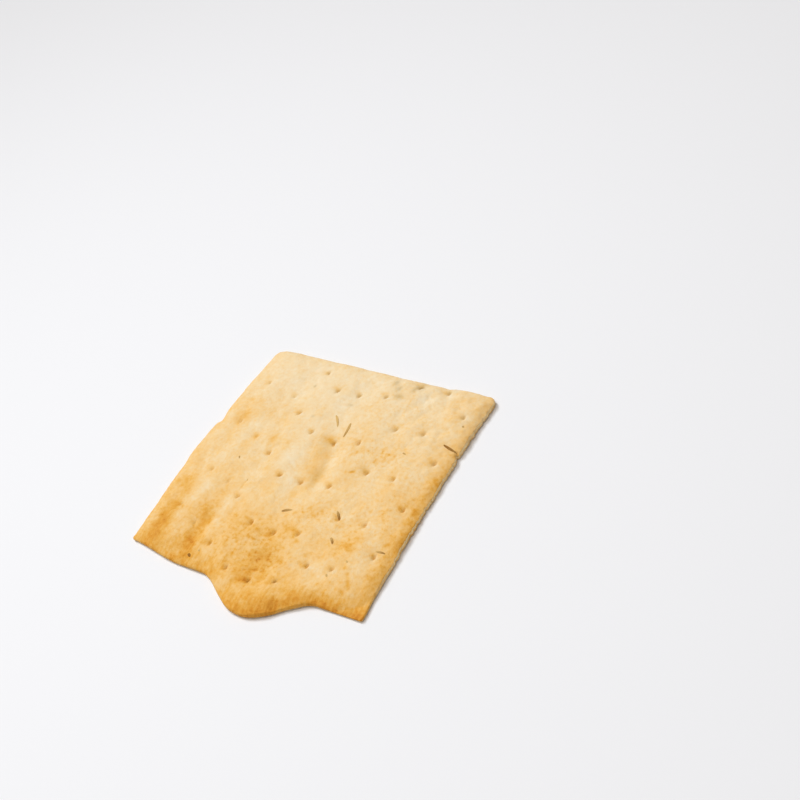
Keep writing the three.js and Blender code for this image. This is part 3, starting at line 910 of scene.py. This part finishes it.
# %% Browning with noise
MOTTLE_SWING, STREAK_SWING = 0.43, 0.36
FRECKLE_SWING, FRECKLED_SWING = 0.26, 0.22
FRECKLE_FROM, FRECKLE_TO = (0.54, 0.74), (-0.01, 0.12)

read = {
    name: add_node(crust, "ShaderNodeAttribute", {"attribute_name": name}, {}).outputs["Fac"]
    for name in skin_values
}
freckles = add_node(crust, "ShaderNodeMapRange", {}, {
    "Value": freckle.outputs["Fac"],
    "From Min": FRECKLE_FROM[0], "From Max": FRECKLE_FROM[1],
    "To Min": FRECKLE_TO[0], "To Max": FRECKLE_TO[1],
})
baked = add_node(crust, "ShaderNodeMath", MULTIPLY_ADD, {
    0: freckles.outputs["Result"], 1: read["freckled"], 2: read["browning"],
}).outputs[0]
speckle_swing = add_node(crust, "ShaderNodeMath", MULTIPLY_ADD, {
    0: read["freckled"], 1: FRECKLED_SWING, 2: FRECKLE_SWING,
})
for wave, swing in ((mottle, MOTTLE_SWING), (freckle, speckle_swing.outputs[0])):
    around_zero = add_node(crust, "ShaderNodeMath", {"operation": "SUBTRACT"}, {
        0: wave.outputs["Fac"], 1: 0.5,
    })
    baked = add_node(crust, "ShaderNodeMath", MULTIPLY_ADD, {
        0: around_zero.outputs[0], 1: swing, 2: baked,
    }).outputs[0]
streak_swing = add_node(crust, "ShaderNodeMath", MULTIPLY_ADD, {
    0: streak.outputs["Fac"], 1: STREAK_SWING, 2: -STREAK_SWING / 2,
})
streaked = add_node(crust, "ShaderNodeMath", MULTIPLY_ADD, {
    0: streak_swing.outputs[0], 1: read["streaks"], 2: baked,
})
print("numbers read:", list(read))

# %% Baking colours
BAKING_COLOURS = [
    (0.00, "#F2E1BE"),
    (0.18, "#F1D8AA"),
    (0.36, "#F0CD91"),
    (0.52, "#EFC37A"),
    (0.66, "#E9B459"),
    (0.80, "#E2A33A"),
    (0.92, "#D68F24"),
    (1.00, "#CA821B"),
]
ramp = add_node(crust, "ShaderNodeValToRGB", {}, {"Fac": streaked.outputs[0]})
for place, _ in BAKING_COLOURS[1:-1]:
    ramp.color_ramp.elements.new(place)
for stop, (place, colour) in zip(ramp.color_ramp.elements, BAKING_COLOURS):
    stop.position = place
    stop.color = linear(colour)
print("baking colours:", len(ramp.color_ramp.elements))

# %% Pale crumb on the cut
CRUMB_MM, CRUMB_DARK, CRUMB_LIGHT, STAIN_AND_SHADE_COLOUR = 0.9, "#F2CB86", "#FFE9B6", "#A68B4E"

pores = add_node(crust, "ShaderNodeTexVoronoi", {}, {"Vector": crust_places, "Scale": 1000 / CRUMB_MM})
crumb_colour = add_node(crust, "ShaderNodeMix", MIX_COLOURS, {
    "Factor": pores.outputs["Distance"], COLOUR_A: linear(CRUMB_DARK), COLOUR_B: linear(CRUMB_LIGHT),
})
# One olive colour serves for herb stains and for painted shade in holes, a split and on slopes that face away
# from the light
stained_and_shaded_colour = add_node(crust, "ShaderNodeMix", MIX_COLOURS, {
    "Factor": read["stains_and_shade"], COLOUR_A: ramp.outputs["Color"], COLOUR_B: linear(STAIN_AND_SHADE_COLOUR),
})
skin_colour = add_node(crust, "ShaderNodeMix", MIX_COLOURS, {
    "Factor": read["crumb"],
    COLOUR_A: stained_and_shaded_colour.outputs[MIXED_COLOUR], COLOUR_B: crumb_colour.outputs[MIXED_COLOUR],
})
print("crumb pores, mm:", CRUMB_MM)

# %% Grain and gloss of the crust
GRAIN_MM, GRAIN_HEIGHT_M = 0.55, 0.0003
ROUGH_FROM, ROUGHNESS = (0.3, 0.7), (0.62, 0.80)

grain = add_node(crust, "ShaderNodeTexNoise", {}, {
    "Vector": crust_places, "Scale": 1000 / GRAIN_MM, "Detail": 3, "Roughness": 0.6,
})
bump = add_node(crust, "ShaderNodeBump", {}, {
    "Height": grain.outputs["Fac"], "Strength": 1.0, "Distance": GRAIN_HEIGHT_M,
})
rough = add_node(crust, "ShaderNodeMapRange", {}, {
    "Value": mottle.outputs["Fac"],
    "From Min": ROUGH_FROM[0], "From Max": ROUGH_FROM[1],
    "To Min": ROUGHNESS[0], "To Max": ROUGHNESS[1],
})
set_inputs(crust, crust_shader, {
    "Base Color": skin_colour.outputs[MIXED_COLOUR],
    "Normal": bump.outputs["Normal"],
    "Roughness": rough.outputs["Result"],
    "IOR": 1.45,
    "Specular IOR Level": 0.35,
    "Subsurface Weight": 0.1,
    "Subsurface Radius": (1.0, 0.9, 0.8),
    "Subsurface Scale": 0.0006,
})
print("crust nodes:", len(crust.node_tree.nodes))

# %% [markdown]
# ## Herb needles
#
# Dried rosemary needles lie on the dough and are half baked into it. Each is a slim spindle with rolled
# edges and a groove along its back. Hair particles could scatter them, but there are only a few and each has
# its own place, so they are profiles carried along short paths, all worked out in one array.

# %% Needle surfaces
NEEDLES = np.array([  # from x, y, to x, y, half width, how far it stands out, bow, toasting, more at its end
    (-6.4, 28.4, -2.1, 22.7, 0.58, 0.38, 0.04, 0.16, 0.10),
    (3.0, 26.1, 4.1, 17.9, 0.70, 0.48, 0.04, 0.38, 0.14),
    (49.8, 26.7, 56.8, 25.0, 0.58, 0.48, -0.02, 0.80, -0.20),
    (-0.5, -24.7, 4.3, -22.9, 0.62, 0.40, 0.05, 0.55, -0.32),
    (23.6, -17.4, 26.3, -20.9, 0.52, 0.42, 0.05, 0.60, 0.36),
    (27.9, -29.4, 30.5, -32.1, 0.60, 0.36, 0.05, 0.60, 0.40),
    (49.3, -29.2, 53.7, -28.9, 0.48, 0.30, 0.05, 0.55, 0.32),
    (52.6, 38.4, 53.6, 37.5, 0.50, 0.26, 0.00, 0.50, 0.00),
    (34.8, 17.8, 36.8, 17.0, 0.42, 0.24, 0.05, 0.35, -0.25),
    (-29.1, -55.7, -27.0, -56.5, 0.80, 0.45, 0.05, 0.95, 0.00),
    (-26.4, -14.8, -25.7, -15.9, 0.42, 0.20, 0.00, 0.30, 0.00),
    (-37.7, -5.1, -36.8, -6.4, 0.34, 0.20, 0.00, 0.45, 0.00),
    (-25.2, -52.7, -23.9, -53.4, 0.45, 0.20, 0.00, 0.30, 0.00),
    (40.4, -37.0, 41.9, -38.0, 0.45, 0.20, 0.00, 0.20, 0.00),
    (35.8, -45.0, 37.0, -46.2, 0.48, 0.22, 0.00, 0.25, 0.00),
])
STATIONS, SIDES = 18, 12
NEEDLE_FLATNESS, GROOVE, GROOVE_POWER = 0.7, 0.35, 4
FULLEST_POWER, BLUNT_POWER = 0.85, 0.45

columns = NEEDLES.T[:, :, None, None]
from_x, from_y, to_x, to_y, half_width, stands_out, bowed, toasting, end_toasting = columns
station = ((np.arange(STATIONS) + 0.5) / STATIONS)[None, :, None]
angle = (2 * np.pi * np.arange(SIDES) / SIDES)[None, None, :]
length = np.hypot(to_x - from_x, to_y - from_y)
ahead_x, ahead_y = (to_x - from_x) / length, (to_y - from_y) / length


def needle_point(t, a, width):
    """A point on every needle at share t of its length and angle a round it. The path is bowed by a sine, and
    the section is a flat oval with a groove cut along its back by the fourth power of a sine."""
    path_x, path_y = lerp(from_x, to_x, t), lerp(from_y, to_y, t)
    bed = baked_top(path_x[..., 0], path_y[..., 0])[..., None]
    w = half_width * width
    height = NEEDLE_FLATNESS * w * np.sin(a) - GROOVE * w * np.maximum(0, np.sin(a)) ** GROOVE_POWER
    bow = bowed * length * np.sin(np.pi * t) + w * np.cos(a)
    x, y = path_x - ahead_y * bow, path_y + ahead_x * bow
    return np.stack([x, y, bed + stands_out - NEEDLE_FLATNESS * half_width + height], axis=-1)


# The width follows a low power of a sine, which is fullest a little before the middle and blunt at the ends
sides = needle_point(station, angle, np.sin(np.pi * station**FULLEST_POWER) ** BLUNT_POWER)
one = np.ones((1, 1, 1))
tips = np.concatenate([needle_point(end * one, 0 * one, 0) for end in (0.0, 1.0)], axis=1)
print("needles:", len(NEEDLES), "longest, mm:", round(float(length.max()), 1))

# %% Join the needles
def cap(ring, next_ring, tip):
    """The triangles between the ring of points at one end of every needle and its tip."""
    return np.stack([ring, next_ring, np.broadcast_to(tip, ring.shape)], axis=-1).reshape(-1, 3)


side_id = np.arange(sides[..., 0].size).reshape(sides.shape[:3])
tip_id = side_id.size + np.arange(2 * len(NEEDLES)).reshape(-1, 2)
around = np.roll(side_id, -1, axis=2)
needle_quads = cells(side_id[:, :-1], around[:, :-1], around[:, 1:], side_id[:, 1:])
start_caps = cap(around[:, 0], side_id[:, 0], tip_id[:, :1])
end_caps = cap(side_id[:, -1], around[:, -1], tip_id[:, 1:])
herbs = make_piece(
    "herb_needles",
    np.vstack([sides.reshape(-1, 3), tips.reshape(-1, 3)]),
    needle_quads.tolist() + start_caps.tolist() + end_caps.tolist(),
)
toasted_sides = np.broadcast_to(toasting + end_toasting * (2 * station - 1), side_id.shape)
toasted_tips = np.concatenate([toasting - end_toasting, toasting + end_toasting], axis=1)
give_values(herbs, {"toasting": np.concatenate([toasted_sides.ravel(), toasted_tips.ravel()])})
print("needles:", len(herbs.data.vertices), "points")

# %% Dried herb
LEAF_MM, LEAF_SWING, LEAF_PALE, LEAF_TOASTED = 0.8, 0.5, "#DDB974", "#8E5B0E"

# Rosemary: dried in the air, so it rolled up and lost its gloss, then toasted from straw to brown in the oven
leaf, leaf_shader = start_material("dried_rosemary", herbs)
leaf_places = add_node(leaf, "ShaderNodeTexCoord", {}, {}).outputs["Object"]
leaf_toasting = add_node(leaf, "ShaderNodeAttribute", {"attribute_name": "toasting"}, {}).outputs["Fac"]
leaf_noise = add_node(leaf, "ShaderNodeTexNoise", {}, {
    "Vector": leaf_places, "Scale": 1000 / LEAF_MM, "Detail": 2,
})
leaf_swing = add_node(leaf, "ShaderNodeMath", MULTIPLY_ADD, {
    0: leaf_noise.outputs["Fac"], 1: LEAF_SWING, 2: -LEAF_SWING / 2,
})
leaf_shade = add_node(leaf, "ShaderNodeMath", {"operation": "ADD"}, {
    0: leaf_toasting, 1: leaf_swing.outputs[0],
})
leaf_colour = add_node(leaf, "ShaderNodeMix", MIX_COLOURS, {
    "Factor": leaf_shade.outputs[0], COLOUR_A: linear(LEAF_PALE), COLOUR_B: linear(LEAF_TOASTED),
})
set_inputs(leaf, leaf_shader, {
    "Base Color": leaf_colour.outputs[MIXED_COLOUR],
    "Roughness": 0.7,
    "Specular IOR Level": 0.2,
    "IOR": 1.45,
})
print("leaf nodes:", len(leaf.node_tree.nodes))

# %% [markdown]
# ## Table and light
#
# The piece lies on a plain white sweep in soft daylight. A broad, distant lamp on the left stands for a
# window and gives the soft shadow and the shading of the ribs. A soft box beyond the near left corner
# lightens that end, and an even warm sky fills the rest. A picture of a room could light it too, but lamps
# can be changed one by one.

# %% Table
TABLE_HALF = 20.0
TABLE_CORNERS = ((-1, -1), (1, -1), (1, 1), (-1, 1))

table_mesh = bpy.data.meshes.new("table")
table_mesh.from_pydata([(x * TABLE_HALF, y * TABLE_HALF, 0) for x, y in TABLE_CORNERS], [], [(0, 1, 2, 3)])
table = bpy.data.objects.new("table", table_mesh)
scene.collection.objects.link(table)
# Uncoated white paper: pressed fibres without any gloss
paper, paper_shader = start_material("white_paper_sweep", table)
set_inputs(paper, paper_shader, {"Base Color": linear("#EDF0F4"), "Roughness": 0.9})
print("table, m:", 2 * TABLE_HALF)

# %% Light
LIT_SPOT = Vector((-0.12, -0.08, 0))
LAMPS = [  # name, colour, direction, distance, size, power
    ("window_light", "#F8FBFF", (-0.56, 0.19, 0.81), 8.0, 2.7, 355),
    ("soft_box", "#FBFCFF", (0, 0, 1), 0.8, 0.6, 2.97),
]
SKY_COLOUR, SKY_STRENGTH = "#FFEEDC", 0.315

for name, colour, direction, distance, size, power in LAMPS:
    direction = Vector(direction).normalized()
    lamp = bpy.data.objects.new(name, bpy.data.lights.new(name, "AREA"))
    lamp.data.size = size
    lamp.data.energy = power
    lamp.data.color = linear(colour)[:3]
    lamp.location = LIT_SPOT + distance * direction
    lamp.rotation_mode = "QUATERNION"
    lamp.rotation_quaternion = direction.to_track_quat("Z", "Y")
    scene.collection.objects.link(lamp)
sky = bpy.data.worlds.new("soft_sky")
sky.use_nodes = True
sky.node_tree.nodes["Background"].inputs["Color"].default_value = linear(SKY_COLOUR)
sky.node_tree.nodes["Background"].inputs["Strength"].default_value = SKY_STRENGTH
scene.world = sky
scene.view_settings.view_transform = "Standard"
print("lamps:", len(LAMPS), "and a sky of", SKY_STRENGTH)
